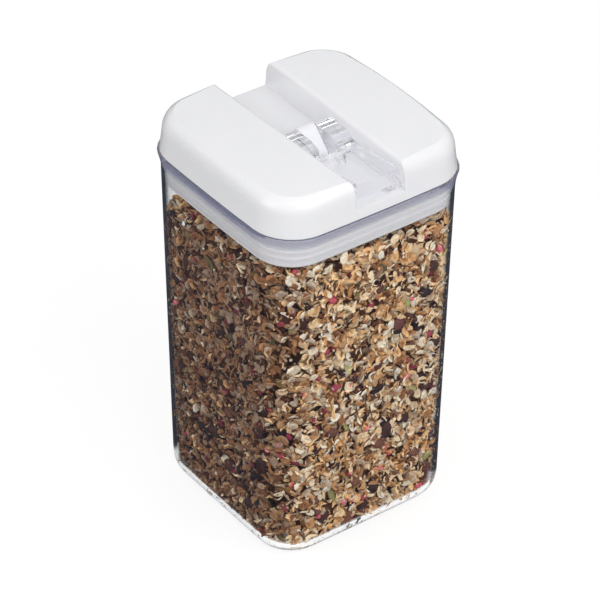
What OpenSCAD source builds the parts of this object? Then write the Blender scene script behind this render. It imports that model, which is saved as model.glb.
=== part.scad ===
// Square airtight canister with a cam lever lid
//
// The front is -Y, where the lever's finger tab hangs, and the lever's hinge axis is X.
// The origin is the middle of the foot and +Z is up. All sizes are millimetres.
//
// The lever is a cam on the pull post's pin. Lying flat it holds the post up, and the post's
// pressure plate squeezes the gasket out against the wall. Standing up it lets the plate drop.

/* [Canister] */
// Overall width and depth, across the flared rim
canister_w = 120; // [100:1:150]
// Height of the clear canister, foot to rim
canister_h = 200; // [120:1:300]
// How far the rim stands out beyond the wall
rim_flare = 2.15; // [1:0.05:3]
// Height over which the rim flares out
rim_h = 9; // [6:0.5:14]
// How far each wall leans in, from the rim down to the foot
wall_draft = 2.5; // [0.5:0.05:4]
// Wall thickness
wall_t = 2.5; // [1.5:0.1:3.5]
// Thickness of the base
base_t = 3; // [2.5:0.1:6]
// Corner radius of the walls, seen from above
corner_r = 21.5; // [14:0.1:28]
// Corner radius of the rim, seen from above
rim_r = 23.15; // [16:0.05:30]
// Radius where the walls turn under to the foot
edge_r = 12; // [4:0.5:16]
// Width of the flat foot ring
foot_w = 5; // [3:0.5:8]
// Depth of the recess inside the foot ring
foot_recess = 0.8; // [0.4:0.1:1.5]
// How far the rim's sides bow out in their middle
rim_bow = 1.1; // [0:0.1:2.5]
// How far the walls bow out in their middle
wall_bow = 0.4; // [0:0.1:1.5]

/* [Lid cover] */
// Height of the lid cover above the rim
lid_h = 19.8; // [16:0.2:26]
// Thickness of the moulded cover
lid_t = 2.2; // [1.5:0.1:3]
// How far the cover's lower edge sits in from the rim's edge
lid_setback = 1.1; // [0.5:0.1:2.5]
// How far the cover's side leans in below the rolled edge
lid_lean = 1; // [0.5:0.1:4]
// Height of the ellipse that rolls the side over to the top
roll_h = 10; // [6:0.2:12]
// Width of that ellipse
roll_w = 6; // [4:0.2:12]
// Angle at which the roll stops short of level and leaves a soft crease
roll_end = 71; // [50:1:85]
// Corner radius of the flat top, inside the crease
plateau_r = 12.4; // [8:0.5:20]
// How far the crease bows out in the middle of each side
plateau_bow = 4.4; // [0:0.1:6]
// Gap between the cover's lower edge and the rim
seat_gap = 0.1; // [0.05:0.05:0.3]

/* [Channel] */
// Width of the channel at the front edge of the lid
channel_front_w = 29; // [26:0.2:34]
// Width of the channel at the rear edge of the lid
channel_rear_w = 33.4; // [28:0.2:38]
// Depth of the channel floor below the flat top
channel_depth = 14.8; // [13:0.2:16]
// Thickness of the channel's floor and walls
channel_t = 2; // [1.5:0.1:2.6]
// How far the channel's floor falls away at its rear end
channel_fall = 0.9; // [0.2:0.1:1.2]
// Length over which it falls
channel_fall_len = 12; // [6:1:20]
// Radius that rounds the channel's top edges over to the flat top
channel_fillet = 2.2; // [1:0.1:3]

/* [Plug] */
// Gap all round between the plug and the canister's wall
plug_gap = 0.5; // [0.3:0.05:0.8]
// How far the plug's skirt stands up inside the cover
skirt_rise = 3; // [1:0.5:5]
// How far the plug's underside lies below the rim
plug_drop = 7.4; // [6:0.2:10]
// Thickness of the plug's floor
plug_floor_t = 2.4; // [1.6:0.1:3]
// Thickness of the plug's skirt
skirt_t = 2; // [1.4:0.1:2.6]
// Width of the band that the gasket takes up, from the plug's side inwards
gasket_w = 6.6; // [5:0.2:9]
// Height of the gasket
gasket_h = 8; // [6:0.2:10]
// How far the gasket sits in from the plug's side, between its two lips
lip_out = 0.5; // [0.2:0.05:0.8]
// Thickness of each lip
lip_t = 1.3; // [0.8:0.1:2]
// Height of the collar that the gasket sits around
collar_h = 5.2; // [3:0.2:5.6]
// Thickness of that collar
collar_t = 1.8; // [1.2:0.1:2.4]
// Thickness of the pressure plate
plate_t = 2.4; // [1.8:0.1:3]

/* [Pull post] */
// Diameter of the post's shank
shank_d = 10; // [9:0.5:12]
// Radial running clearance of the shank in its bush
bush_gap = 0.06; // [0.02:0.01:0.1]
// Wall of the guide bush
bush_t = 2; // [1.5:0.1:2.5]
// Diameter of the hub that carries the bush
hub_d = 20; // [18.4:0.2:24]
// Cord thickness of the post's ring seal
seal_cord = 1.8; // [1.4:0.1:2]
// Width of the post's head, between the lever's ears
head_w = 10; // [9:0.2:11]
// How far the head reaches behind the pin
head_rear = 4.3; // [3.8:0.1:5]
// How far the head reaches in front of the pin
head_front = 13.2; // [11:0.2:14]
// Gap between the head and the hole that it passes through
head_gap = 0.4; // [0.2:0.05:0.6]

/* [Flip lever] */
// Height of the hinge pin above the channel floor while locked
cam_h = 5.3; // [5:0.1:5.8]
// How far the post drops as the lever stands up
stroke = 2; // [1:0.1:2.2]
// Running gap between the cam and the channel floor
cam_gap = 0.1; // [0.05:0.05:0.2]
// Diameter of the hinge pin
pin_d = 2.6; // [2.2:0.1:3]
// Radial running clearance of the pin in the post's head
pin_gap = 0.05; // [0.02:0.01:0.09]
// Gap between the lever's sides and the channel
lever_gap = 0.7; // [0.4:0.05:1]
// Gap between the ears and the post's head
ear_gap = 0.3; // [0.2:0.05:0.5]
// Height of the ears' hump above the pin
ear_h = 5.4; // [4.8:0.1:5.8]
// How far the ears reach in front of the pin
ear_front = 18; // [16:0.5:20]
// Distance from the pin to the closed end of the slot
slot_reach = 20.5; // [19:0.5:24]
// Wall round the closed end of the slot
hub_wall = 4.3; // [3:0.1:5]
// Thickness of the thin plate between the ribs
web_t = 2.2; // [1.6:0.1:2.6]
// Height of that plate's top above the channel floor
web_z = 3.4; // [3:0.1:4.2]
// Thickness of the side ribs
rib_t = 2.2; // [1.6:0.1:3]
// Height of the ribs above the pin, just in front of the ears
rib_dip = 1.7; // [1:0.1:3]
// How far the finger tab's top lies below the flat top
tab_sink = 2.5; // [1.5:0.1:4]
// Gap under the finger tab
tab_gap = 2.1; // [1.2:0.1:3]
// Thickness of the finger tab
tab_t = 3; // [2:0.1:4]
// How far the tab's face sits behind the lid's front
tab_setback = 1.2; // [0.5:0.1:2.5]

/* [Fasteners] */
// Diameter of the screw in the post
post_screw_d = 4; // [3:0.5:5]
// Length of that screw below its head
post_screw_len = 13; // [8:1:16]
// Diameter of that screw's head
post_screw_head = 7.6; // [6.5:0.1:8.4]
// Height of that screw's head
post_screw_head_h = 2.4; // [1.8:0.1:2.8]
// Diameter of the washer under it
washer_d = 10; // [9:0.2:11]
// Thickness of the washer
washer_t = 0.6; // [0.4:0.1:0.8]
// Diameter of the pocket that hides the post's screw
pocket_d = 12; // [11.4:0.2:13]
// Diameter of the four cover screws
cover_screw_d = 2.9; // [2.5:0.1:3.5]
// Diameter of their heads
cover_screw_head = 5.6; // [5:0.1:6.5]
// Height of their heads
cover_screw_head_h = 2; // [1.5:0.1:2.4]
// Length of the cover screws below the head
cover_screw_len = 12; // [8:1:16]
// How far the cover screws sit in from the gasket's collar, along X and along Y
cover_screw_in = 10.3; // [8:0.1:16]
// Diameter of the cover's screw posts
screw_post_d = 7; // [6:0.2:8]

/* [Hidden] */

// Sides and corners of a ring of points, and the arcs on bodies of revolution
side_steps = 4;
corner_steps = 8;
roll_steps = 5;
base_steps = 8;
round_fn = 48;
corner_fn = 64;
eps = 0.01;
past = 2;

// Levels of the assembled lid
rim_hw = canister_w / 2;
wall_hw = rim_hw - rim_flare;
top_z = canister_h + lid_h;
floor_z = top_z - channel_depth;
plug_z = canister_h - plug_drop;
gasket_z = plug_z - gasket_h;
plate_top_z = gasket_z - seat_gap;
plate_z = plate_top_z - plate_t;
pin_z = floor_z + cam_h;

// Canister walls
wall_z = canister_h - rim_h;
function wall_at(z) = wall_hw - wall_draft * (1 - z / wall_z);
plug_hw = wall_at(plate_z) - wall_t - plug_gap;
plug_r = corner_r - wall_t - plug_gap;
foot_hw = wall_hw - wall_draft - edge_r;

// Lid cover
roll_rise = roll_h * sin(roll_end);
inset_end = lid_setback + lid_lean + roll_w * (1 - cos(roll_end));
function lid_inset_at(z) = lid_setback + lid_lean * (z - canister_h) / (lid_h - roll_rise);

// Post, hub and bush
shank_r = shank_d / 2;
bush_r = shank_r + bush_gap;
bush_out_r = bush_r + bush_t;
hub_rise = 3;
hub_top_z = plug_z + plug_floor_t + hub_rise;
flange_t = 1.2;
flange_out = 1.6;
hub_depth = 3;
hub_z = plug_z - hub_depth;
seal_room = 0.2;
seal_z = plug_z - hub_depth / 2 + seal_cord + seal_room;
retainer_t = hub_depth - hub_depth / 2;
cover_screw_at = plug_hw - gasket_w - collar_t - cover_screw_in;

// Pressure plate's cup and its screw
cup_wall = 3;
cup_d = pocket_d + 2 * cup_wall;
web_under_screw = 2;
pocket_depth = 4.4;
cup_top_z = plate_z + pocket_depth + web_under_screw;
neck = 1;
cap_t = 0.8;
hole_gap = 0.2;

// Lever
cam_low = cam_h - cam_gap;
cam_k = stroke / (PI / 2);
cam_rear = cam_low - stroke;
slot_w = head_w + 2 * ear_gap;
tab_top = top_z - tab_sink - pin_z;
tab_low = tab_gap - cam_h;
rib_low = 0.4;
ear_round = 2.4;
ear_run = 3;

// Point on the cam's profile, as y and z from the pin, where it faces down at lever angle a.
// Its support distance falls by the same amount for each degree, so the gap never changes.
function cam_point(a) =
    let (h = cam_low - stroke * a / 90)
    [h * sin(a) - cam_k * cos(a), -h * cos(a) - cam_k * sin(a)];

// Points of an arc round c, from angle a to angle b
function arc(c, r, a, b, n) = [for (i = [0 : n]) let (t = a + (b - a) * i / n) c + r * [cos(t), sin(t)]];

// Half width of the channel at y
function channel_hw(y) =
    (channel_front_w + (channel_rear_w - channel_front_w) * (y + rim_hw) / canister_w) / 2;

// Quarter of a rounded square of half width hw, one side and one corner
function quarter(hw, r) =
    let (s = hw - r)
    concat([for (i = [0 : side_steps - 1]) [hw, -s + 2 * s * i / side_steps]],
           [for (i = [0 : corner_steps - 1]) [s, s] + r * [cos(90 * i / corner_steps), sin(90 * i / corner_steps)]]);

// Whole ring at height z, with its four sides bowed out
function ring(hw, r, bow, z) =
    let (b = bow / hw / hw / hw)
    [for (q = [0 : 3]) for (p = quarter(hw, r))
        let (x = p[0] * (1 - b * p[1] * p[1]), y = p[1] * (1 - b * p[0] * p[0]))
        [x * cos(90 * q) - y * sin(90 * q), x * sin(90 * q) + y * cos(90 * q), z]];

// Closed solid through a list of rings, with a flat cap on the first and on the last
module loft(rings) {
    n = len(rings[0]);
    last = len(rings) - 1;
    sides = [for (i = [0 : last - 1]) for (j = [0 : n - 1]) for (f = [
        [i * n + j, (i + 1) * n + j, (i + 1) * n + (j + 1) % n],
        [i * n + j, (i + 1) * n + (j + 1) % n, i * n + (j + 1) % n]]) f];
    caps = [[for (j = [0 : n - 1]) j], [for (j = [n - 1 : -1 : 0]) last * n + j]];
    polyhedron([for (r = rings) each r], concat(caps, sides));
}

// Rounded square, seen from above
module square_plan(hw, r) {
    square([2 * hw, 2 * (hw - r)], center = true);
    square([2 * (hw - r), 2 * hw], center = true);
    for (x = [-1, 1]) for (y = [-1, 1])
        translate([x * (hw - r), y * (hw - r)]) circle(r, $fn = corner_fn);
}

// Flat plate with a rounded square plan, from z0 to z1
module square_plate(hw, r, z0, z1) {
    translate([0, 0, z0]) linear_extrude(z1 - z0) square_plan(hw, r);
}

// Upright cylinder from z0 to z1
module post(d, z0, z1) {
    translate([0, 0, z0]) cylinder(h = z1 - z0, d = d, $fn = round_fn);
}

// Solid whose outline lies in the YZ plane, w wide across X
module across(w) {
    rotate([90, 0, 90]) translate([0, 0, -w / 2]) linear_extrude(w) children();
}

// Copies at the four cover screws
module at_screws() {
    for (x = [-1, 1]) for (y = [-1, 1])
        translate([x * cover_screw_at, y * cover_screw_at, 0]) children();
}

// Clear canister: foot ring, drafted walls and a flared rim, as one skin from the underside
// of the base, up the outside, over the rim and down the inside
module canister() {
    outer_low = [for (i = [0 : base_steps]) let (t = 90 * i / base_steps, z = edge_r * (1 - cos(t)))
        ring(foot_hw + edge_r * sin(t), corner_r - edge_r * (1 - sin(t)), wall_bow, z)];
    flare = [for (u = [0, 0.35, 0.7, 0.9]) let (e = rim_flare * pow(u / 0.9, 1.5))
        ring(wall_hw + e, corner_r + (rim_r - corner_r) * e / rim_flare,
             wall_bow + (rim_bow - wall_bow) * e / rim_flare, wall_z + rim_h * u)];
    lip_in = 0.35;
    lip = [ring(rim_hw - lip_in, rim_r - lip_in, rim_bow, canister_h)];
    in_r = edge_r - wall_t;
    inner_low = [for (i = [base_steps : -1 : 0]) let (t = 90 * i / base_steps, z = base_t + in_r * (1 - cos(t)))
        ring(wall_at(z) - wall_t - in_r * (1 - sin(t)), corner_r - wall_t - in_r * (1 - sin(t)), wall_bow, z)];
    inner_top = [ring(wall_at(canister_h) - wall_t, corner_r - wall_t, wall_bow, canister_h)];
    recess = [ring(foot_hw - foot_w - foot_recess, corner_r - edge_r - foot_w, wall_bow, foot_recess),
              ring(foot_hw - foot_w, corner_r - edge_r - foot_w, wall_bow, 0)];
    color([0.85, 0.88, 0.9, 0.4]) loft(concat(recess, outer_low, flare, lip, inner_top, inner_low));
}

// Rings up the outside of the lid cover, or of its cavity when offset inwards by t
function cover_rings(t) =
    let (low = canister_h + seat_gap, roll_z = top_z - t - roll_rise,
         lower = [[low, lid_setback], [roll_z, lid_setback + lid_lean]],
         upper = [for (i = [1 : roll_steps]) let (a = roll_end * i / roll_steps)
             [roll_z + roll_h * sin(a), lid_setback + lid_lean + roll_w * (1 - cos(a))]])
    [for (p = concat(lower, upper))
        let (u = (p[1] - lid_setback) / (inset_end - lid_setback),
             r = rim_r - lid_setback + (plateau_r - rim_r + lid_setback) * u)
        ring(rim_hw - p[1] - t, r - t, rim_bow + (plateau_bow - rim_bow) * u, p[0])];

// Plan of the channel, wider by t on each side
module channel_plan(t) {
    front = -rim_hw - past;
    rear = rim_hw + past;
    polygon([[-channel_hw(front) - t, front], [channel_hw(front) + t, front],
             [channel_hw(rear) + t, rear], [-channel_hw(rear) - t, rear]]);
}

// Space of the channel, from front to rear, with flared sides that leave its top edges rounded
module channel_space() {
    r = channel_fillet;
    half_slope = atan((channel_rear_w - channel_front_w) / 2 / canister_w);
    fall_r = channel_fall_len * channel_fall_len / 2 / channel_fall;
    fall_y = rim_hw - channel_fall_len;
    translate([0, 0, floor_z]) linear_extrude(channel_depth + past) channel_plan(0);
    intersection() {
        translate([0, 0, floor_z - channel_fall - past]) linear_extrude(channel_depth) channel_plan(0);
        difference() {
            translate([-rim_hw, fall_y, floor_z - channel_fall - past]) cube([canister_w, rim_hw, channel_depth]);
            translate([0, fall_y, floor_z - fall_r]) rotate([0, 90, 0])
                cylinder(h = 2 * canister_w, r = fall_r, center = true, $fn = 720);
        }
    }
    for (m = [0, 1]) mirror([m, 0, 0])
        translate([channel_hw(0), 0, 0]) rotate([90, 0, -half_slope])
            translate([0, 0, -canister_w]) linear_extrude(2 * canister_w)
                polygon(concat([[-r, top_z - r]], arc([r, top_z - r], r, 180, 90, 8), [[r, top_z + past], [-r, top_z + past]]));
}

// Plan of the post's head, wider by t all round: square behind and round in front
module head_plan(t) {
    r = head_w / 2;
    circle_y = -head_front + r;
    translate([0, circle_y]) circle(r + t, $fn = round_fn);
    translate([-r - t, circle_y]) square([2 * (r + t), head_rear - circle_y + t]);
}

// White lid cover: a moulded shell with the lever's channel sunk into it from front to rear
module lid_cover() {
    outer = cover_rings(0);
    inner = cover_rings(lid_t);
    last = len(inner) - 1;
    color("white") difference() {
        union() {
            loft(concat([for (i = [last : -1 : 0]) inner[i]], outer));
            intersection() {
                loft(outer);
                translate([0, 0, floor_z - channel_t]) linear_extrude(channel_depth + channel_t)
                    channel_plan(channel_t);
            }
            at_screws() post(screw_post_d, plug_z + plug_floor_t, top_z - lid_t / 2);
        }
        channel_space();
        translate([0, 0, floor_z - channel_t - past]) linear_extrude(channel_t + 2 * past) head_plan(head_gap);
        at_screws() post(cover_screw_d, plug_z, plug_z + cover_screw_len + 1);
    }
}

// White plug: a tray screwed up into the cover, with the hub for the post and the gasket's collar
module lid_base() {
    skirt_z = canister_h + skirt_rise;
    edge = 0.5;
    tray = [ring(plug_hw - edge, plug_r - edge, wall_bow, plug_z),
            ring(plug_hw, plug_r, wall_bow, plug_z + edge),
            ring(plug_hw, plug_r, wall_bow, skirt_z),
            ring(plug_hw - skirt_t, plug_r - skirt_t, wall_bow, skirt_z),
            ring(plug_hw - skirt_t, plug_r - skirt_t, wall_bow, plug_z + plug_floor_t)];
    color("white") difference() {
        union() {
            loft(tray);
            difference() {
                square_plate(plug_hw - gasket_w, plug_r - gasket_w, plug_z - collar_h, plug_z + edge);
                square_plate(plug_hw - gasket_w - collar_t, plug_r - gasket_w - collar_t,
                             plug_z - collar_h - past, plug_z);
            }
            post(hub_d, hub_z, hub_top_z);
        }
        post(2 * bush_out_r, hub_z - past, hub_top_z + past);
        at_screws() post(cover_screw_d + 2 * hole_gap, plug_z - past, plug_z + plug_floor_t + past);
    }
}

// Silicone gasket round the plug, with two lips that meet the canister's wall
module main_gasket() {
    body = -lip_out;
    lip = plug_gap / 2;
    low = gasket_h * 0.2;
    high = gasket_h * 0.65;
    in_gap = 0.05;
    profile = [[body, 0], [body, low], [lip, low + lip_t / 3], [lip, low + lip_t], [body, low + lip_t],
               [body, high], [lip, high + lip_t / 3], [lip, high + lip_t], [body, high + lip_t],
               [body, gasket_h]];
    color([0.9, 0.9, 0.93]) difference() {
        loft([for (p = profile) ring(plug_hw + p[0], plug_r + p[0], wall_bow, gasket_z + p[1])]);
        square_plate(plug_hw - gasket_w + in_gap, plug_r - gasket_w + in_gap, gasket_z - past, plug_z + past);
    }
}

// Flanged bush that guides the post
module guide_bush() {
    color([0.92, 0.92, 0.9]) difference() {
        union() {
            post(2 * bush_out_r, seal_z, hub_top_z);
            post(2 * (bush_out_r + flange_out), hub_top_z, hub_top_z + flange_t);
        }
        post(2 * bush_r, seal_z - past, hub_top_z + flange_t + past);
    }
}

// Ring seal on the post, under the bush
module post_seal() {
    mid_r = bush_r + seal_cord / 2;
    color([0.8, 0.8, 0.82])
        translate([0, 0, seal_z - seal_room / 2 - seal_cord / 2])
            rotate_extrude($fn = round_fn) translate([mid_r, 0]) circle(d = seal_cord, $fn = 16);
}

// Ring pressed into the hub's mouth, which keeps the seal in
module seal_retainer() {
    color("white") difference() {
        post(2 * bush_out_r, hub_z, hub_z + retainer_t);
        post(2 * (bush_r + hole_gap), hub_z - past, hub_z + retainer_t + past);
    }
}

// Pan head screw pointing up, its head's seat at z
module pan_screw(d, len, head_d, head_h, z) {
    slot_depth = head_h * 0.45;
    difference() {
        union() {
            post(d, z, z + len);
            translate([0, 0, z - head_h]) cylinder(h = head_h, d1 = head_d * 0.8, d2 = head_d, $fn = round_fn);
        }
        for (a = [0, 90]) rotate([0, 0, a])
            translate([-head_d / 4, -d / 8, z - head_h - past]) cube([head_d / 2, d / 4, past + slot_depth]);
    }
}

// The four screws that hold the plug up to the cover
module cover_screws() {
    color("silver") at_screws()
        pan_screw(cover_screw_d, cover_screw_len, cover_screw_head, cover_screw_head_h, plug_z);
}

// Side view of the post's head: upright behind, round on top, sloping to the channel floor in front
module head_side() {
    slope = 45;
    top = ear_h - cam_gap - 0.1;
    top_r = 4;
    foot_r = 6;
    foot_y = -head_front + 1;
    back_r = 1.2;
    low = -cam_h - channel_t - neck;
    face = -cam_h + 0.2;
    crown = [head_rear - back_r - 0.6, top - top_r];
    slope_y = crown[0] - top_r * sin(slope);
    slope_z = crown[1] + top_r * cos(slope);
    run = slope_z - face - foot_r * (1 - cos(slope));
    polygon(concat(
        [[head_rear, low]],
        arc([head_rear - back_r, top - back_r], back_r, 0, 90, 4),
        arc(crown, top_r, 90, 90 + slope, 5),
        arc([slope_y - run - foot_r * sin(slope), face + foot_r], foot_r, 270 + slope, 270, 5),
        [[foot_y - 1, face], [foot_y - 1, low]]));
}

// White pull post: the head that the lever straddles, bored for the pin, and the shank below
module pull_post() {
    color("white") difference() {
        union() {
            intersection() {
                translate([0, 0, pin_z]) across(head_w + past) head_side();
                translate([0, 0, floor_z - channel_t - neck]) linear_extrude(cam_h + ear_h + 2 * past) head_plan(0);
            }
            post(shank_d, cup_top_z, floor_z - channel_t - neck / 2);
        }
        translate([0, 0, pin_z]) rotate([0, 90, 0])
            cylinder(h = head_w + past, r = pin_d / 2 + pin_gap, center = true, $fn = round_fn);
        post(post_screw_d, cup_top_z - past, cup_top_z + post_screw_len);
    }
}

// White pressure plate that squeezes the gasket, with the cup that takes the post's screw
module pressure_plate() {
    edge = 0.7;
    guide_gap = 0.4;
    guide_hw = plug_hw - gasket_w - guide_gap;
    guide_h = 1.4;
    color("white") difference() {
        union() {
            loft([ring(plug_hw - edge, plug_r - edge, wall_bow, plate_z),
                  ring(plug_hw, plug_r, wall_bow, plate_z + edge),
                  ring(plug_hw, plug_r, wall_bow, plate_top_z)]);
            difference() {
                square_plate(guide_hw, plug_r - gasket_w, plate_z + edge, plate_top_z + guide_h);
                square_plate(guide_hw - collar_t, plug_r - gasket_w - collar_t, plate_z + edge, plate_top_z + guide_h + past);
            }
            post(cup_d, plate_z + edge, cup_top_z);
        }
        post(pocket_d, plate_z - past, plate_z + pocket_depth);
        post(post_screw_d + 2 * hole_gap, plate_z - past, cup_top_z + past);
    }
}

// Screw that joins the pressure plate to the post
module post_screw() {
    color("silver")
        pan_screw(post_screw_d, post_screw_len, post_screw_head, post_screw_head_h, plate_z + pocket_depth - washer_t);
}

// Washer between that screw and the pressure plate
module post_washer() {
    color("silver") difference() {
        post(washer_d, plate_z + pocket_depth - washer_t, plate_z + pocket_depth);
        post(post_screw_d, plate_z, plate_z + pocket_depth + past);
    }
}

// Cap that closes the screw's pocket flush with the pressure plate
module screw_cap() {
    skirt = 1.4;
    skirt_wall = 0.8;
    color("white") difference() {
        post(pocket_d, plate_z, plate_z + cap_t + skirt);
        post(pocket_d - 2 * skirt_wall, plate_z + cap_t, plate_z + cap_t + skirt + past);
    }
}

// Side view of the lever, from the pin: cam behind, humped ears, ribs that rise to the finger tab
module lever_side() {
    face_top = -rim_hw + lid_inset_at(canister_h) + inset_end - lid_setback + 0.2;
    face_low = -rim_hw + lid_inset_at(floor_z + tab_gap) + tab_setback;
    dip_y = -ear_front - ear_run;
    hump_y = -ear_front * 0.55;
    polygon(concat(
        [for (a = [0 : 9 : 90]) cam_point(a)],
        arc([cam_rear - ear_round, ear_h - ear_round], ear_round, 0, 90, 4),
        [[hump_y, ear_h - 0.3], [-ear_front, rib_dip + 0.5], [dip_y, rib_dip], [face_top, tab_top],
         [face_low, tab_low], [face_low + tab_t, tab_low],
         [face_low + tab_t + 1.5, rib_low - cam_h], [-ear_front, rib_low - cam_h], [-ear_front + ear_run, -cam_low]]));
}

// Clear flip lever: forked ears that are cams, a tray between two ribs, and a hanging finger tab
module flip_lever() {
    slot_r = slot_w / 2;
    slot_y = -slot_reach + slot_r;
    front = -rim_hw;
    tray_front = -rim_hw + lid_inset_at(floor_z + tab_gap) + tab_setback + tab_t;
    tray_len = -tray_front - ear_front;
    color([0.9, 0.93, 0.96, 0.5]) difference() {
        intersection() {
            translate([0, 0, pin_z]) across(channel_rear_w) lever_side();
            translate([0, 0, floor_z]) linear_extrude(channel_depth + past) channel_plan(-lever_gap);
        }
        difference() {
            union() {
                translate([0, 0, floor_z + web_z]) linear_extrude(channel_depth) lever_tray(tray_front, tray_len);
                translate([0, 0, floor_z - past]) linear_extrude(past + web_z - web_t) lever_tray(tray_front, tray_len);
            }
            translate([0, slot_y, 0]) post(2 * (slot_r + hub_wall), floor_z - past, top_z + past);
        }
        translate([0, 0, floor_z - past]) linear_extrude(channel_depth + 2 * past) {
            translate([0, slot_y]) circle(slot_r, $fn = round_fn);
            translate([-slot_r, slot_y]) square([slot_w, slot_reach + past + ear_front]);
        }
        translate([0, 0, pin_z]) rotate([0, 90, 0])
            cylinder(h = channel_rear_w, d = pin_d, center = true, $fn = round_fn);
    }
}

// Plan of the space between the lever's ribs
module lever_tray(front, len) {
    inner = lever_gap + rib_t;
    polygon([[-channel_hw(front) + inner, front], [channel_hw(front) - inner, front],
             [channel_hw(front + len) - inner, front + len], [-channel_hw(front + len) + inner, front + len]]);
}

// Steel hinge pin, pressed into both ears and free in the post's head
module lever_pin() {
    end_in = 0.6;
    color("silver") translate([0, 0, pin_z]) rotate([0, 90, 0])
        cylinder(h = 2 * (channel_hw(0) - lever_gap - end_in), d = pin_d, center = true, $fn = round_fn);
}

canister();
lid_cover();
lid_base();
main_gasket();
guide_bush();
post_seal();
seal_retainer();
cover_screws();
pull_post();
pressure_plate();
post_screw();
post_washer();
screw_cap();
flip_lever();
lever_pin();
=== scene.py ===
# %% [markdown]
# # A clear canister with a white flip-lever lid
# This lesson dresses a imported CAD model. The solids arrive with their sizes and joints settled,
# so everything here is about the eye: smooth normals, believable plastics, light and a camera.
# All lengths are in metres, and the object's front, where the lever's finger tab hangs, is -Y.

# %% Load the model
import math

import bmesh
import bpy
import numpy as np
from mathutils import Matrix, Vector


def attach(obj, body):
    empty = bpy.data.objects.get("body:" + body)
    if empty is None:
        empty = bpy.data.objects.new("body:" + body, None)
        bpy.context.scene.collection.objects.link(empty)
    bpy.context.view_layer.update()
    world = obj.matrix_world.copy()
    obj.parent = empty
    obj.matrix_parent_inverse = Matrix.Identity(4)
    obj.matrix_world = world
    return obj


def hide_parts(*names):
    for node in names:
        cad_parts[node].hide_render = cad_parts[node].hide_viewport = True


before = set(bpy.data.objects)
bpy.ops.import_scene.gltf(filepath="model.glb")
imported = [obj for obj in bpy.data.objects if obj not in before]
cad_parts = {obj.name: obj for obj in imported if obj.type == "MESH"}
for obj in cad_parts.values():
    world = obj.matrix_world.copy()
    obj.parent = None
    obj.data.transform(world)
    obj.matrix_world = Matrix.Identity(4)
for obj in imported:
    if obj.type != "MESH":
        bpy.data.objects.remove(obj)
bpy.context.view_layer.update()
mm = 0.001
print("nodes:", sorted(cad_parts))

# %% [markdown]
# ## Seeing it from the photographer's place
# The camera's place was solved from the canister's edges and the lid's outline in the photograph.
# A long lens far away keeps the walls nearly parallel. We build the camera's three axes by hand,
# because an aim constraint can't carry the slight roll of the original picture.

# %% Camera
picture_px = 600
focal_px = 3261.3
elevation, azimuth, roll = (math.radians(a) for a in (35.93, -36.59, 0.50))
distance = 1.6371

toward_camera = Vector((math.sin(azimuth) * math.cos(elevation),
                        -math.cos(azimuth) * math.cos(elevation), math.sin(elevation)))
level_right = (-toward_camera).cross(Vector((0, 0, 1))).normalized()
level_up = level_right.cross(-toward_camera)
camera_right = level_right * math.cos(roll) + level_up * math.sin(roll)
camera_up = level_up * math.cos(roll) - level_right * math.sin(roll)
aim = level_right * -0.00314 + Vector((0, 0, 0.11292))
place = aim + toward_camera * distance

camera_data = bpy.data.cameras.new("studio_camera")
camera_data.sensor_width = 36
camera_data.lens = focal_px / picture_px * camera_data.sensor_width
camera_data.clip_end = 50
camera = bpy.data.objects.new("studio_camera", camera_data)
axes = Matrix((camera_right, camera_up, toward_camera)).transposed().to_4x4()
camera.matrix_world = Matrix.Translation(place) @ axes
bpy.context.scene.collection.objects.link(camera)
bpy.context.scene.camera = camera
bpy.context.scene.view_settings.view_transform = "Standard"
print("lens", round(camera_data.lens, 1), "mm, camera at", [round(c, 3) for c in place])

# %% [markdown]
# ## Two helpers for every finish
# Colours are written the way a designer quotes them, as sRGB hex, and one function turns them
# into the linear numbers that the shaders work in. A second function adds any node, sets it up
# and wires it, which keeps each recipe below readable from top to bottom.

# %% Colour and node helpers
def linear(hex_code):
    """An sRGB hex colour as linear red, green, blue and alpha."""
    parts = [int(hex_code[i:i + 2], 16) / 255 for i in (1, 3, 5)]
    return [p / 12.92 if p <= 0.04045 else ((p + 0.055) / 1.055) ** 2.4 for p in parts] + [1.0]


def add(tree, kind, settings=None, inputs=None):
    """Adds a node. Settings are its properties; inputs hold a value or another node's output."""
    node = tree.nodes.new(kind)
    for name, value in (settings or {}).items():
        setattr(node, name, value)
    for name, value in (inputs or {}).items():
        if isinstance(value, bpy.types.NodeSocket):
            tree.links.new(value, node.inputs[name])
        else:
            node.inputs[name].default_value = value
    return node


def blank_material(name):
    """An empty material's node tree, with its output node."""
    material = bpy.data.materials.new(name)
    material.use_nodes = True
    material.node_tree.nodes.clear()
    return material, material.node_tree, material.node_tree.nodes.new("ShaderNodeOutputMaterial")


print("white in linear light:", [round(c, 2) for c in linear("#F4F4F8")])

# %% [markdown]
# ## White moulded ABS
# The cover is injection-moulded ABS from a polished tool. Up close such a skin isn't a mirror:
# it has a faint orange-peel a few millimetres across, tiny changes of gloss where the melt
# flowed, and every edge is rounded by a few tenths of a millimetre. The Bevel node rounds the
# edges in the shading, which suits a mesh that came from CAD and has long thin triangles.

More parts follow.
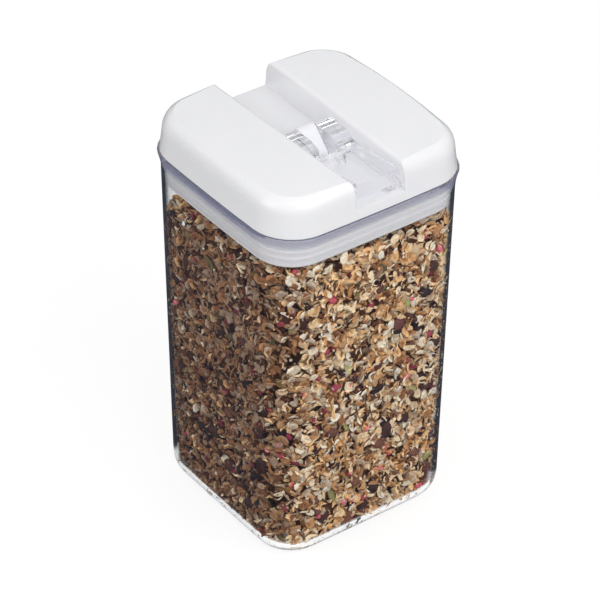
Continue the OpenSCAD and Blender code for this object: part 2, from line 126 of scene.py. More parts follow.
# %% Moulded white plastics
def moulded_white(name, hex_code, flow_hex, roughness, peel_mm, edge_mm, peel_height=0.002):
    """An opaque moulded plastic with flow marks, orange peel and softly rounded edges."""
    material, tree, output = blank_material(name)
    where = add(tree, "ShaderNodeTexCoord").outputs["Object"]
    flow = add(tree, "ShaderNodeTexNoise", {"noise_dimensions": "3D"},
               {"Vector": where, "Scale": 1 / (22 * mm), "Detail": 3.0, "Roughness": 0.45})
    shade = add(tree, "ShaderNodeMix", {"data_type": "RGBA"},
                {"Factor": flow.outputs["Fac"], "A": linear(flow_hex), "B": linear(hex_code)})
    gloss = add(tree, "ShaderNodeMapRange", None,
                {"Value": flow.outputs["Fac"], "From Min": 0.3, "From Max": 0.7,
                 "To Min": roughness * 0.85, "To Max": roughness * 1.15})
    edge = add(tree, "ShaderNodeBevel", {"samples": 4}, {"Radius": edge_mm * mm})
    peel = add(tree, "ShaderNodeTexNoise", None,
               {"Vector": where, "Scale": 1 / (peel_mm * mm), "Detail": 2.0})
    bump = add(tree, "ShaderNodeBump", None,
               {"Height": peel.outputs["Fac"], "Strength": 0.25, "Distance": peel_height * mm,
                "Normal": edge.outputs["Normal"]})
    skin = add(tree, "ShaderNodeBsdfPrincipled", None,
               {"Base Color": shade.outputs["Result"], "Roughness": gloss.outputs["Result"],
                "IOR": 1.54, "Normal": bump.outputs["Normal"], "Subsurface Weight": 0.08,
                "Subsurface Scale": 0.002})
    tree.links.new(skin.outputs["BSDF"], output.inputs["Surface"])
    return material


cover_abs = moulded_white("cover_abs_polished", "#F6F6F8", "#F2F2F4", 0.22, 3.0, 0.45)
plug_pp = moulded_white("plug_polypropylene", "#F1EEF0", "#E9E5E9", 0.34, 2.2, 0.35)
post_abs = moulded_white("post_abs_polished", "#F5F5F8", "#EEEEF3", 0.20, 2.6, 0.3)
print("white plastics:", cover_abs.name, plug_pp.name, post_abs.name)

# %% [markdown]
# ## Clear plastics
# The canister is styrene-acrylonitrile (SAN), and the lever is acrylic: both bend light strongly
# (IOR 1.57 and 1.49) and keep the tool's polish. Looked at along the wall, light travels many
# millimetres of plastic and much of it is lost, and the edge also refracts the dark surroundings,
# so clear mouldings have dark, slightly green-grey edges. Here that darkness is painted: Layer
# Weight finds those grazing places from every side, and mixes in a darker tint there, which is
# partly light lost in the plastic and partly painted dark refraction. The canister's thick lip and
# foot get a paler painted edge tint, with a lilac cast, so its tint changes with height, and the
# top of the lip is slightly cloudy.
# Some rays must not refract. Shadow and diffuse rays pass straight through, so that the filling
# is lit. So do rays that have bounced about inside the plastic for so long that they would run
# out and turn black. That isn't how real plastic works, but it hides a limit of the renderer.

# %% Clear plastics
grazing_from, grazing_full = 0.56, 0.75  # Layer Weight's Facing: 0 is face on, 1 is edge on
foot_fade, rim_fade = 8, 3  # mm below and above the wall in which the edge tint grows paler
lip_clear, lip_cloudy = 4.1, 4.9  # mm above the wall where the cloud starts and is full
bounces_before_straight, mirrors_before_straight = 5.5, 2.5


def clear_plastic(name, face_hex, edge_hex, ior, ripple_mm, ends=None):
    """A polished clear moulding. Ends holds a paler tint, the wall's lowest and highest mm
    between which the edge tint is full, and how cloudy the lip above it is."""
    material, tree, output = blank_material(name)
    where = add(tree, "ShaderNodeTexCoord").outputs["Object"]
    ripple = add(tree, "ShaderNodeTexNoise", None,
                 {"Vector": where, "Scale": 1 / (ripple_mm * mm), "Detail": 2.0})
    bump = add(tree, "ShaderNodeBump", None,
               {"Height": ripple.outputs["Fac"], "Strength": 0.3, "Distance": 0.01 * mm})
    # Painted dark edges: seen edge on, the plastic takes a darker tint, partly light lost in it and
    # partly painted dark refraction of the surroundings
    grazing = add(tree, "ShaderNodeLayerWeight", None, {"Blend": 0.5})
    edge_on_darkening = add(tree, "ShaderNodeMapRange", {"interpolation_type": "SMOOTHSTEP"},
                {"Value": grazing.outputs["Facing"], "From Min": grazing_from,
                 "From Max": grazing_full})
    edge_tint = linear(edge_hex)
    if ends:
        ends_hex, wall_low, wall_high, cloudiness = ends
        height = add(tree, "ShaderNodeSeparateXYZ", None, {"Vector": where}).outputs["Z"]
        above_foot = add(tree, "ShaderNodeMapRange", {"interpolation_type": "SMOOTHSTEP"},
                         {"Value": height, "From Min": (wall_low - foot_fade) * mm,
                          "From Max": wall_low * mm})
        below_rim = add(tree, "ShaderNodeMapRange", {"interpolation_type": "SMOOTHSTEP"},
                        {"Value": height, "From Min": (wall_high + rim_fade) * mm,
                         "From Max": wall_high * mm})
        on_wall = add(tree, "ShaderNodeMath", {"operation": "MULTIPLY"},
                      {0: above_foot.outputs["Result"], 1: below_rim.outputs["Result"]})
        edge_tint = add(tree, "ShaderNodeMix", {"data_type": "RGBA"},
                        {"Factor": on_wall.outputs["Value"], "A": linear(ends_hex),
                         "B": edge_tint}).outputs["Result"]
    tint = add(tree, "ShaderNodeMix", {"data_type": "RGBA"},
               {"Factor": edge_on_darkening.outputs["Result"], "A": linear(face_hex), "B": edge_tint})
    body = add(tree, "ShaderNodeBsdfPrincipled", None,
               {"Base Color": tint.outputs["Result"], "Transmission Weight": 1.0, "IOR": ior,
                "Roughness": 0.0, "Normal": bump.outputs["Normal"]}).outputs["BSDF"]
    if ends:
        cloud = add(tree, "ShaderNodeBsdfDiffuse", None, {"Color": linear(ends_hex)})
        on_lip = add(tree, "ShaderNodeMapRange", {"interpolation_type": "SMOOTHSTEP"},
                     {"Value": height, "From Min": (wall_high + lip_clear) * mm,
                      "From Max": (wall_high + lip_cloudy) * mm, "To Max": cloudiness})
        clouded = add(tree, "ShaderNodeMixShader", None,
                      {0: on_lip.outputs["Result"], 1: body, 2: cloud.outputs["BSDF"]})
        body = clouded.outputs["Shader"]
    rays = add(tree, "ShaderNodeLightPath")
    long_way = add(tree, "ShaderNodeMath", {"operation": "GREATER_THAN"},
                   {0: rays.outputs["Ray Depth"], 1: bounces_before_straight})
    many_mirrors = add(tree, "ShaderNodeMath", {"operation": "GREATER_THAN"},
                       {0: rays.outputs["Glossy Depth"], 1: mirrors_before_straight})
    trapped = add(tree, "ShaderNodeMath", {"operation": "MAXIMUM"},
                  {0: long_way.outputs["Value"], 1: many_mirrors.outputs["Value"]})
    lighting = add(tree, "ShaderNodeMath", {"operation": "MAXIMUM"},
                   {0: rays.outputs["Is Shadow Ray"], 1: rays.outputs["Is Diffuse Ray"]})
    goes_straight = add(tree, "ShaderNodeMath", {"operation": "MAXIMUM"},
                        {0: lighting.outputs["Value"], 1: trapped.outputs["Value"]})
    straight = add(tree, "ShaderNodeBsdfTransparent", None, {"Color": linear(face_hex)})
    either = add(tree, "ShaderNodeMixShader", None,
                 {0: goes_straight.outputs["Value"], 1: body, 2: straight.outputs["BSDF"]})
    tree.links.new(either.outputs["Shader"], output.inputs["Surface"])
    return material


# Each second colour is the darker edge-on tint, partly painted dark refraction; the canister's
# lilac one is its paler painted tint at lip and foot
canister_san = clear_plastic("canister_san_clear", "#FDFEFE", "#86928E", 1.57, 28,
                             ends=("#9A9CB8", 13, 190, 0.28))
lever_acrylic = clear_plastic("lever_acrylic_clear", "#FEFEFF", "#CCD0E0", 1.49, 6)
print("clear plastics:", canister_san.name, lever_acrylic.name)

# %% [markdown]
# ## Silicone, acetal and stainless steel
# The gasket is translucent silicone: soft, slightly milky, with a dry surface that picks up fine
# dust. The bush is acetal, a waxy bearing plastic. Pins and screws are drawn stainless wire, so
# their scratches run along one direction; stretching a noise along one axis draws them.

# %% Silicone, acetal and steel
def soft_or_waxy(name, hex_code, dust_hex, roughness, scatter, grain_mm):
    """A translucent, non-metal skin with fine dust or cutting marks."""
    material, tree, output = blank_material(name)
    where = add(tree, "ShaderNodeTexCoord").outputs["Object"]
    grain = add(tree, "ShaderNodeTexNoise", None,
                {"Vector": where, "Scale": 1 / (grain_mm * mm), "Detail": 4.0})
    shade = add(tree, "ShaderNodeMix", {"data_type": "RGBA"},
                {"Factor": grain.outputs["Fac"], "A": linear(dust_hex), "B": linear(hex_code)})
    bump = add(tree, "ShaderNodeBump", None,
               {"Height": grain.outputs["Fac"], "Strength": 0.2, "Distance": 0.01 * mm})
    skin = add(tree, "ShaderNodeBsdfPrincipled", None,
               {"Base Color": shade.outputs["Result"], "Roughness": roughness, "IOR": 1.41,
                "Subsurface Weight": scatter, "Subsurface Scale": 0.004,
                "Normal": bump.outputs["Normal"]})
    tree.links.new(skin.outputs["BSDF"], output.inputs["Surface"])
    return material


def drawn_steel(name, hex_code, roughness, stretch):
    """Stainless steel whose drawing marks run along the axis where stretch is smallest."""
    material, tree, output = blank_material(name)
    where = add(tree, "ShaderNodeTexCoord").outputs["Object"]
    along = add(tree, "ShaderNodeMapping", None, {"Vector": where, "Scale": stretch})
    marks = add(tree, "ShaderNodeTexNoise", None,
                {"Vector": along.outputs["Vector"], "Scale": 1 / (0.5 * mm), "Detail": 3.0})
    gloss = add(tree, "ShaderNodeMapRange", None,
                {"Value": marks.outputs["Fac"], "To Min": roughness * 0.6,
                 "To Max": roughness * 1.5})
    bump = add(tree, "ShaderNodeBump", None,
               {"Height": marks.outputs["Fac"], "Strength": 0.15, "Distance": 0.005 * mm})
    metal = add(tree, "ShaderNodeBsdfPrincipled", None,
                {"Base Color": linear(hex_code), "Metallic": 1.0,
                 "Roughness": gloss.outputs["Result"], "Normal": bump.outputs["Normal"]})
    tree.links.new(metal.outputs["BSDF"], output.inputs["Surface"])
    return material


silicone = soft_or_waxy("gasket_silicone", "#F3EFF1", "#EAE6EA", 0.42, 0.15, 0.6)
acetal = soft_or_waxy("bush_acetal", "#EEEDE6", "#E6E4DA", 0.35, 0.3, 0.4)
pin_steel = drawn_steel("pin_stainless_drawn", "#B9BABD", 0.22, (0.04, 1, 1))
screw_steel = drawn_steel("screw_stainless_rolled", "#B4B5B8", 0.28, (1, 1, 0.1))
print("others:", silicone.name, acetal.name, pin_steel.name, screw_steel.name)

# %% [markdown]
# ## Dressing each CAD piece
# A CAD mesh comes as separate flat facets. We copy it, weld the facets, smooth every edge that
# turns less than a set angle and keep the rest crisp. The copy stands for the node and rides on
# the same body, so it moves with the joints.

# %% Dress the pieces
def dress(node, piece, body, slot, material, crisp_deg=26.0):
    """A welded, smooth-shaded copy of a CAD node that stands for it."""
    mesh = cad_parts[node].data.copy()
    mesh.name = piece
    work = bmesh.new()
    work.from_mesh(mesh)
    bmesh.ops.remove_doubles(work, verts=work.verts, dist=1e-6)
    bmesh.ops.dissolve_degenerate(work, edges=work.edges, dist=1e-7)
    for face in work.faces:
        face.smooth = True
    crisp = math.radians(crisp_deg)
    for edge in work.edges:
        edge.smooth = len(edge.link_faces) == 2 and edge.calc_face_angle(0) < crisp
    work.to_mesh(mesh)
    work.free()
    if "custom_normal" in mesh.attributes:
        mesh.attributes.remove(mesh.attributes["custom_normal"])
    mesh.materials.clear()
    mesh.materials.append(material)
    dressed = bpy.data.objects.new(piece, mesh)
    bpy.context.scene.collection.objects.link(dressed)
    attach(dressed, body)
    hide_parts(node)
    return dressed


wardrobe = [
    ("canister", "clear_canister", "canister", "canister_plastic", canister_san),
    ("lid_cover", "white_cover", "lid", "cover_plastic", cover_abs),
    ("lid_base", "white_plug", "lid", "plug_plastic", plug_pp),
    ("main_gasket", "silicone_gasket", "lid", "silicone", silicone),
    ("guide_bush", "acetal_bush", "lid", "acetal", acetal),
    ("post_seal", "ring_seal", "lid", "silicone", silicone),
    ("seal_retainer", "seal_ring", "lid", "plug_plastic", plug_pp),
    ("cover_screws", "four_screws", "lid", "screw_steel", screw_steel),
    ("pull_post", "white_post", "plunger", "post_plastic", post_abs),
    ("pressure_plate", "white_plate", "plunger", "plug_plastic", plug_pp),
    ("post_screw", "plate_screw", "plunger", "screw_steel", screw_steel),
    ("post_washer", "plate_washer", "plunger", "screw_steel", screw_steel),
    ("screw_cap", "white_cap", "plunger", "plug_plastic", plug_pp),
    ("flip_lever", "clear_lever", "lever", "lever_plastic", lever_acrylic),
    ("lever_pin", "steel_pin", "lever", "pin_steel", pin_steel),
]
pieces = {row[1]: dress(*row) for row in wardrobe}
print("dressed", len(pieces), "pieces,",
      sum(len(piece.data.polygons) for piece in pieces.values()), "faces")

# %% [markdown]
# ## Filling the canister for the picture
# The photograph shows the canister full of muesli. The filling isn't part of the object, so it is
# staging, like the floor. Only the outer few millimetres can be seen: flakes are scattered over
# the inside of the walls, most of them nearly flat against the plastic, in front of a brown
# core. Each kind of bit is one small mesh that is copied with its own turn, size and colour.

# %% Shapes of the bits
def disc(rings, around, curl, rough, seed):
    """A thin, dished, uneven oat flake of unit radius, as points and faces."""
    rng = np.random.default_rng(seed)
    points, faces = [], []
    for side in (1, -1):
        start = len(points)
        points.append((0, 0, side * 0.10))
        for r in range(1, rings + 1):
            for k in range(around):
                t = 2 * math.pi * (k + 0.5 * (r % 2)) / around
                reach = r / rings * (1 + rough * rng.uniform(-1, 1))
                lift = (curl * reach ** 2 * math.cos(2 * t)
                        + side * 0.10 * (1 - 0.8 * (r / rings) ** 2))
                points.append((reach * math.cos(t), reach * math.sin(t), lift))
        for k in range(around):
            face = (start, start + 1 + k, start + 1 + (k + 1) % around)
            faces.append(face if side > 0 else face[::-1])
            for r in range(1, rings):
                a, b = start + 1 + (r - 1) * around, start + 1 + r * around
                quad = (a + k, b + k, b + (k + 1) % around, a + (k + 1) % around)
                faces.append(quad if side > 0 else quad[::-1])
    last = 1 + (rings - 1) * around
    below = 1 + rings * around + last
    for k in range(around):
        faces.append((last + (k + 1) % around, last + k, below + k, below + (k + 1) % around))
    return np.array(points), faces


def lump(around, wrinkle, seed):
    """A wrinkled raisin or a chunk of dried berry, of unit radius."""
    rng = np.random.default_rng(seed)
    points, faces, rows = [(0, 0, 1.0)], [], around // 2
    for r in range(1, rows):
        for k in range(around):
            polar, turn = math.pi * r / rows, 2 * math.pi * k / around
            swell = 1 + wrinkle * rng.uniform(-1, 1)
            points.append((swell * math.sin(polar) * math.cos(turn),
                           swell * math.sin(polar) * math.sin(turn), swell * math.cos(polar)))
    points.append((0, 0, -1.0))
    for k in range(around):
        n = (k + 1) % around
        faces.append((0, 1 + k, 1 + n))
        for r in range(rows - 2):
            a, b = 1 + r * around, 1 + (r + 1) * around
            faces.append((a + k, b + k, b + n, a + n))
        faces.append((1 + (rows - 2) * around + n, 1 + (rows - 2) * around + k, len(points) - 1))
    return np.array(points), faces


bit_shapes = {
    "flake": disc(3, 11, 0.18, 0.20, 1), "curl": disc(3, 11, 0.45, 0.24, 2),
    "husk": disc(2, 8, 0.30, 0.30, 3), "raisin": lump(14, 0.17, 4),
    "berry": lump(9, 0.30, 5), "seed": disc(2, 12, 0.03, 0.02, 6), "crumb": lump(6, 0.35, 7),
}
print("shapes:", {name: len(shape[1]) for name, shape in bit_shapes.items()})

# %% [markdown]
# The bits have to follow the inside of the canister. Its section at any height is a rounded
# square that shrinks down the drafted wall, and faster where the wall turns under to the base.

# %% Inside of the canister
base_top, turn_r, wall_bow = 3.0, 9.5, 0.4
wall_t, wall_draft, wall_top, outer_half, corner_r = 2.5, 2.5, 191, 57.85, 19.0


def inner_section(z):
    """Half width and corner radius, in mm, of the space inside the canister at height z."""
    drop = np.clip(1 - (z - base_top) / turn_r, 0, 1)
    inset = turn_r * (1 - np.sqrt(1 - drop ** 2))
    half = outer_half - wall_draft * (1 - z / wall_top) - wall_t - inset
    return half, corner_r - inset


def wall_point(share, inset, z):
    """Place and outward direction, in mm, at a share of the way round the inside of the wall."""
    half, corner = (v - inset for v in inner_section(z))
    corner = max(corner, 0.5)
    straight = 2 * (half - corner)
    side_length = straight + corner * math.pi / 2
    side, along = divmod(share * 4 * side_length, side_length)
    if along < straight:
        place, out = (half, along - straight / 2), (1.0, 0.0)
    else:
        t = (along - straight) / corner
        out = (math.cos(t), math.sin(t))
        place = (half - corner + corner * out[0], half - corner + corner * out[1])
    c, s = math.cos(side * math.pi / 2), math.sin(side * math.pi / 2)
    return ((place[0] * c - place[1] * s, place[0] * s + place[1] * c, z),
            (out[0] * c - out[1] * s, out[0] * s + out[1] * c, 0.0))


def hold_inside(points, clear=0.15):
    """Presses points, in mm, back inside the walls and the base of the canister."""
    x, y, z = points.T
    z = np.maximum(z, base_top + clear)
    half, corner = inner_section(z)
    half, corner = half - clear, corner - clear
    bow_x, bow_y = (half + wall_bow * (1 - (np.clip(v, -half, half) / half) ** 2) for v in (y, x))
    x, y = np.clip(x, -bow_x, bow_x), np.clip(y, -bow_y, bow_y)
    past_x, past_y = np.abs(x) - (half - corner), np.abs(y) - (half - corner)
    reach = np.hypot(past_x, past_y)
    too_far = (past_x > 0) & (past_y > 0) & (reach > corner)
    shrink = np.where(too_far, corner / np.maximum(reach, 1e-9), 1)
    x = np.where(past_x > 0, np.sign(x) * (half - corner + past_x * shrink), x)
    y = np.where(past_y > 0, np.sign(y) * (half - corner + past_y * shrink), y)
    return np.stack([x, y, z], axis=1)


heap_half, heap_corners = 54, (179.5, 175.5, 164, 168)


def heap_top(x, y):
    """Height of the muesli's surface: up to the plug at the near corner, lower at the back."""
    front_left, front_right, rear_left, rear_right = heap_corners
    u, v = (x + heap_half) / (2 * heap_half), (y + heap_half) / (2 * heap_half)
    return (front_left * (1 - u) * (1 - v) + front_right * u * (1 - v) + rear_left * (1 - u) * v
            + rear_right * u * v + 1.2 * math.sin(x * 0.21 + 1) * math.cos(y * 0.17))


print("half width inside, at the base and at the top:", round(float(inner_section(4.0)[0]), 1),
      round(float(inner_section(180.0)[0]), 1))

# %% [markdown]
# Colours here are darker than the bits look, because each one gets its own gain. The muesli is
# made much darker on the left side (-X) than on the front, more than plain lamps make it: bits
# that face that way get a deeper, browner tint, which is painted shade.

# %% Kinds of bits
bit_kinds = [
    # shape, how many, half sizes in mm, colours
    ("flake", 5600, (3.0, 1.8, 2.4),
     ["#E6CDAC", "#D9B98E", "#EFE0C5", "#C49968", "#F4E7D2", "#B08356"]),
    ("curl", 4200, (2.9, 1.35, 2.4), ["#D2AB7C", "#A07345", "#E6C9A2", "#805534", "#EDD7B4"]),
    ("husk", 3800, (2.5, 0.7, 1.6), ["#C19664", "#744C2E", "#D9B687", "#F2E2C8"]),
    ("raisin", 400, (4.4, 3.2, 2.6), ["#3A201C", "#4E2C26", "#2C1A1A", "#5E3A2E"]),
    ("berry", 330, (2.3, 1.8, 1.3), ["#B04A58", "#96384A", "#CC7078", "#86303E"]),
    ("seed", 120, (4.0, 2.0, 3.2), ["#8A8A54", "#A29E6C", "#727244"]),
    ("crumb", 3600, (0.9, 0.7, 0.6), ["#F6E9D2", "#E6CCA5", "#C49562", "#9A6C44"]),
]
round_kinds = ("raisin", "berry", "crumb")
# painted_left_shade: how far red, green and blue drop on bits that face -X, painted shade
gain, brightest, painted_left_shade = (1.35, 1.9), 0.95, np.array((0.64, 0.73, 0.77))
print("kinds:", [kind[0] for kind in bit_kinds])

# %% [markdown]
# Every other bit lies within about a millimetre of the plastic, and the rest lie up to four
# millimetres deep, so that gaps show more bits and not the core. Two thirds lie fairly flat, and
# every third one is tumbled. A few line the rounded foot and cover the top of the heap.

# %% Scatter the bits
foot_share, top_share, heap_reach = 0.08, 0.08, 50
wall_from, wall_height = 12, 169
tumbled, settled = 0.85, 0.38
rng = np.random.default_rng(20)
all_points, all_faces, all_tints, offset = [], [], [], 0
for shape, count, half_sizes, hexes in bit_kinds:
    base, base_faces = bit_shapes[shape]
    reach = np.hypot(base[:, 0], base[:, 1])
    palette = [linear(h)[:3] for h in hexes]
    for i in range(count):
        thick = half_sizes[2] * (0.9 if shape in round_kinds else 0.25)
        inset = 0.3 + thick + (1.0 * rng.random() if i % 2 else 1.2 + 2.6 * rng.random())
        zone = rng.random()
        if zone < foot_share:
            t = math.radians(rng.uniform(8, 88))
            place, out = wall_point(rng.random(), 0.0, base_top + turn_r * (1 - math.cos(t)))
            normal = Vector((out[0] * math.sin(t), out[1] * math.sin(t), -math.cos(t)))
            place = Vector(place) - normal * inset
        elif zone < foot_share + top_share:
            x, y = rng.uniform(-heap_reach, heap_reach, 2)
            place, normal = Vector((x, y, heap_top(x, y) - thick)), Vector((0, 0, 1))
        else:
            place, out = wall_point(rng.random(), inset, wall_from + rng.random() * wall_height)
            if place[2] > heap_top(place[0], place[1]) - thick:
                continue
            place, normal = Vector(place), Vector(out)
        normal = normal + Vector(rng.normal(0, tumbled if i % 3 == 0 else settled, 3))
        spin = Matrix.Rotation(rng.random() * 6.283, 3, "Z")
        turn = normal.to_track_quat("Z", "Y").to_matrix() @ spin
        size = np.array(half_sizes) * rng.uniform(0.65, 1.25)
        spun = (base * size) @ np.array(turn).T + np.array(place)
        all_points.append(hold_inside(spun) * mm)
        all_faces.extend(tuple(offset + v for v in face) for face in base_faces)
        # Painted shade: bits that face -X get a darker, browner tint
        shade = 1 - painted_left_shade * min(1.0, max(0.0, -1.3 * normal.normalized().x))
        tint = np.array(palette[rng.integers(len(palette))]) * rng.uniform(*gain)
        tint = tint * min(1.0, brightest / tint.max()) * shade
        all_tints.append(np.column_stack([np.tile(tint, (len(base), 1)), reach]))
        offset += len(base)
print("bits:", len(all_points), "faces:", len(all_faces))

# %% Muesli's skin
def muesli_skin():
    """Dry, uneven flakes: each bit's tint (painted shade on those facing -X), mottled and
    bran-specked, with a rough surface.
    """
    material, tree, output = blank_material("filling_dry_muesli")
    where = add(tree, "ShaderNodeTexCoord").outputs["Object"]
    tint = add(tree, "ShaderNodeAttribute", {"attribute_name": "tint"})
    specks = add(tree, "ShaderNodeTexNoise", None,
                 {"Vector": where, "Scale": 1 / (1.4 * mm), "Detail": 3.0, "Roughness": 0.6})
    darker = add(tree, "ShaderNodeMapRange", None,
                 {"Value": specks.outputs["Fac"], "From Min": 0.3, "From Max": 0.7,
                  "To Min": 0.85, "To Max": 1.3})
    mottled = add(tree, "ShaderNodeMix", {"data_type": "RGBA", "blend_type": "MULTIPLY"},
                  {"Factor": 1.0, "A": tint.outputs["Color"], "B": darker.outputs["Result"]})
    # Each bit is made paler towards its rim and darker in its middle
    middle = add(tree, "ShaderNodeMapRange", None,
                 {"Value": tint.outputs["Alpha"], "From Min": 0.1, "From Max": 0.9,
                  "To Min": 0.88, "To Max": 1.15})
    toned = add(tree, "ShaderNodeMix", {"data_type": "RGBA", "blend_type": "MULTIPLY"},
                {"Factor": 1.0, "A": mottled.outputs["Result"], "B": middle.outputs["Result"]})
    bump = add(tree, "ShaderNodeBump", None,
               {"Height": specks.outputs["Fac"], "Strength": 0.6, "Distance": 0.3 * mm})
    skin = add(tree, "ShaderNodeBsdfPrincipled", None,
               {"Base Color": toned.outputs["Result"], "Roughness": 0.7,
                "Normal": bump.outputs["Normal"]})
    tree.links.new(skin.outputs["BSDF"], output.inputs["Surface"])
    return material


filling_mesh = bpy.data.meshes.new("filling")
filling_mesh.from_pydata(np.concatenate(all_points).tolist(), [], all_faces)
# Each bit's colour, with the painted shade on bits that face -X
tint_layer = filling_mesh.attributes.new("tint", "FLOAT_COLOR", "POINT")
tint_layer.data.foreach_set("color", np.concatenate(all_tints).astype(np.float32).ravel())
filling_mesh.polygons.foreach_set("use_smooth", [True] * len(filling_mesh.polygons))
filling_mesh.materials.append(muesli_skin())
filling = bpy.data.objects.new("filling", filling_mesh)
bpy.context.scene.collection.objects.link(filling)
print("filling:", len(filling_mesh.vertices), "points")

# %% [markdown]
# The core is a dull brown block with rounded corners that stops you seeing through the gaps.

# %% Core of the filling
core_mesh = bpy.data.meshes.new("filling_core")
core = bmesh.new()
bmesh.ops.create_cube(core, size=1.0)
for vertex in core.verts:
    low = vertex.co.z < 0
    half = float(inner_section(60.0)[0]) - 6.5
    x, y = math.copysign(half, vertex.co.x), math.copysign(half, vertex.co.y)
    vertex.co = Vector((x, y, 9.0 if low else heap_top(x, y) - 4.5)) * mm
upright = [e for e in core.edges if abs(e.verts[0].co.z - e.verts[1].co.z) > 0.05]
bmesh.ops.bevel(core, geom=upright, offset=13 * mm, segments=6, affect="EDGES")
core.to_mesh(core_mesh)
core.free()
core_material, core_tree, core_output = blank_material("filling_core_crumbs")
crumbs = add(core_tree, "ShaderNodeTexNoise", None,
             {"Vector": add(core_tree, "ShaderNodeTexCoord").outputs["Object"],
              "Scale": 1 / (3 * mm)})
core_shade = add(core_tree, "ShaderNodeMix", {"data_type": "RGBA"},
                 {"Factor": crumbs.outputs["Fac"], "A": linear("#5A3826"), "B": linear("#A07850")})
core_skin = add(core_tree, "ShaderNodeBsdfDiffuse", None, {"Color": core_shade.outputs["Result"]})
core_tree.links.new(core_skin.outputs["BSDF"], core_output.inputs["Surface"])
core_mesh.materials.append(core_material)
filling_core = bpy.data.objects.new("filling_core", core_mesh)
bpy.context.scene.collection.objects.link(filling_core)
print("core made")

# %% [markdown]
# ## Floor, backdrop and light
# The picture is a product shot on plain white, but a clear canister isn't lit by white alone: in
# front of a white surround, mirror images of it lie over the filling as a grey veil, and the
# plastic loses its dark outline. Photographers hang dark cards just outside the picture for this.
# Light Path does the same here, because it says how each ray came.

# %% What the camera sees directly
def seen_directly(tree):
    """Two outputs. The first is 1 for rays that reach the camera straight or through clear
    plastic, with no mirror on the way, and the second for all rays with no mirror on the way."""
    rays = add(tree, "ShaderNodeLightPath")
    reached = add(tree, "ShaderNodeMath", {"operation": "MAXIMUM"},
                  {0: rays.outputs["Is Camera Ray"], 1: rays.outputs["Is Transmission Ray"]})
    unmirrored = add(tree, "ShaderNodeMath", {"operation": "LESS_THAN"},
                     {0: rays.outputs["Glossy Depth"], 1: 0.5})
    seen = add(tree, "ShaderNodeMath", {"operation": "MULTIPLY"},
               {0: reached.outputs["Value"], 1: unmirrored.outputs["Value"]})
    return seen.outputs["Value"], unmirrored.outputs["Value"]


print("direct view: camera or transmission rays with no mirror on the way")

# %% [markdown]
# The floor takes the object's soft shadow, and adds light of its own to the rays that see it
# directly, so that it reads as white. Mirrored rays find dark cloth, except right under and
# beside the foot, where they would otherwise draw a black line round it. Rays from matt surfaces
# find paler paper without a glow, which sends light up the walls as a white sheet does.

# %% Floor
floor_mesh = bpy.data.meshes.new("floor")
floor_shape = bmesh.new()
bmesh.ops.create_grid(floor_shape, x_segments=1, y_segments=1, size=6.0)
floor_shape.to_mesh(floor_mesh)
floor_shape.free()
floor = bpy.data.objects.new("floor", floor_mesh)
bpy.context.scene.collection.objects.link(floor)
floor_material, tree, output = blank_material("floor_white_sheet")
seen, unmirrored = seen_directly(tree)
paper = add(tree, "ShaderNodeBsdfDiffuse", None, {"Color": linear("#808080")})
bounce = add(tree, "ShaderNodeBsdfDiffuse", None, {"Color": linear("#C8C8C8")})
glow = add(tree, "ShaderNodeEmission", None, {"Color": (1, 1, 1, 1), "Strength": 0.84})
lit = add(tree, "ShaderNodeAddShader", None,
          {0: paper.outputs["BSDF"], 1: glow.outputs["Emission"]})
cloth = add(tree, "ShaderNodeBsdfDiffuse", None, {"Color": linear("#4C4C58")})
canister_half, fade_half = 60, 3  # mm
away = add(tree, "ShaderNodeVectorMath", {"operation": "ABSOLUTE"},
           {0: add(tree, "ShaderNodeTexCoord").outputs["Object"]})
sides = add(tree, "ShaderNodeSeparateXYZ", None, {"Vector": away.outputs["Vector"]})
reach = add(tree, "ShaderNodeMath", {"operation": "MAXIMUM"},
            {0: sides.outputs["X"], 1: sides.outputs["Y"]})
beyond = add(tree, "ShaderNodeMapRange", {"interpolation_type": "SMOOTHSTEP"},
             {"Value": reach.outputs["Value"], "From Min": (canister_half - fade_half) * mm,
              "From Max": (canister_half + fade_half) * mm})
mirrored = add(tree, "ShaderNodeMixShader", None,
               {0: beyond.outputs["Result"], 1: lit.outputs["Shader"], 2: cloth.outputs["BSDF"]})
bounced = add(tree, "ShaderNodeMixShader", None,
              {0: unmirrored, 1: mirrored.outputs["Shader"], 2: bounce.outputs["BSDF"]})
sheet = add(tree, "ShaderNodeMixShader", None,
            {0: seen, 1: bounced.outputs["Shader"], 2: lit.outputs["Shader"]})
tree.links.new(sheet.outputs["Shader"], output.inputs["Surface"])
floor_mesh.materials.append(floor_material)
print("floor made")

# %% [markdown]
# The world lights everything evenly, and shows white to rays that see it directly. Mirrored rays
# see it dark at the horizon and pale overhead.

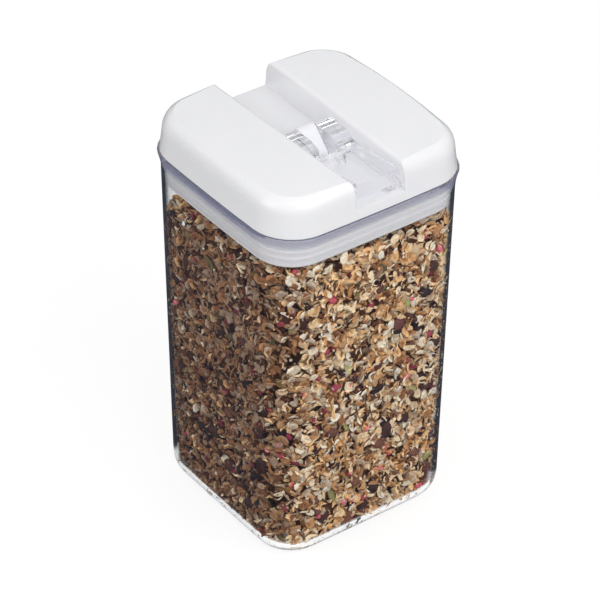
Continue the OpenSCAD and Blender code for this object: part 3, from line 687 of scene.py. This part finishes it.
# %% World
world = bpy.data.worlds.new("studio")
bpy.context.scene.world = world
world.use_nodes = True
tree = world.node_tree
tree.nodes.clear()
output = tree.nodes.new("ShaderNodeOutputWorld")
rays = add(tree, "ShaderNodeLightPath")
mirrored = add(tree, "ShaderNodeMath", {"operation": "MAXIMUM"},
               {0: rays.outputs["Is Glossy Ray"], 1: rays.outputs["Is Transmission Ray"]})
height = add(tree, "ShaderNodeSeparateXYZ", None,
             {"Vector": add(tree, "ShaderNodeTexCoord").outputs["Generated"]})
overhead = add(tree, "ShaderNodeMapRange", {"interpolation_type": "SMOOTHSTEP"},
               {"Value": height.outputs["Z"], "From Min": 0.0, "From Max": 0.3,
                "To Min": 0.06, "To Max": 0.9})
fill_light = add(tree, "ShaderNodeBackground", None,
                 {"Color": linear("#F8F8F9"), "Strength": 0.63})
dark_cards = add(tree, "ShaderNodeBackground", None,
                 {"Color": linear("#F4F6FA"), "Strength": overhead.outputs["Result"]})
backdrop = add(tree, "ShaderNodeBackground", None, {"Color": (1, 1, 1, 1), "Strength": 1.0})
lighting = add(tree, "ShaderNodeMixShader", None,
               {0: mirrored.outputs["Value"], 1: fill_light.outputs["Background"],
                2: dark_cards.outputs["Background"]})
mixed = add(tree, "ShaderNodeMixShader", None,
            {0: seen_directly(tree)[0], 1: lighting.outputs["Shader"],
             2: backdrop.outputs["Background"]})
tree.links.new(mixed.outputs["Shader"], output.inputs["Surface"])
print("world made")

# %% [markdown]
# Two soft lamps model the shape. The one in front is low enough to light the front as well as
# the top, and weak enough for the rolled front edge to keep its colour. The other one, far on
# the left, keeps the left side pale grey. Large lamps give soft highlights.

# %% Lamps
def soft_lamp(name, where, watts, size):
    """A square area lamp that looks at the lid."""
    data = bpy.data.lights.new(name, "AREA")
    data.energy, data.size = watts, size
    lamp = bpy.data.objects.new(name, data)
    lamp.location = where
    lamp.visible_camera = False
    lamp.rotation_euler = (Vector((0, 0, 0.13)) - Vector(where)).to_track_quat("-Z", "Y").to_euler()
    bpy.context.scene.collection.objects.link(lamp)
    return lamp


lamps = [soft_lamp("front_box", (0.02, -0.60, 0.67), 3.1, 0.75),
         soft_lamp("left_box", (-1.1, 0.1, 0.7), 3.1, 0.8)]
print("lamps:", [lamp.name for lamp in lamps])

# %% Finish
bpy.context.view_layer.update()
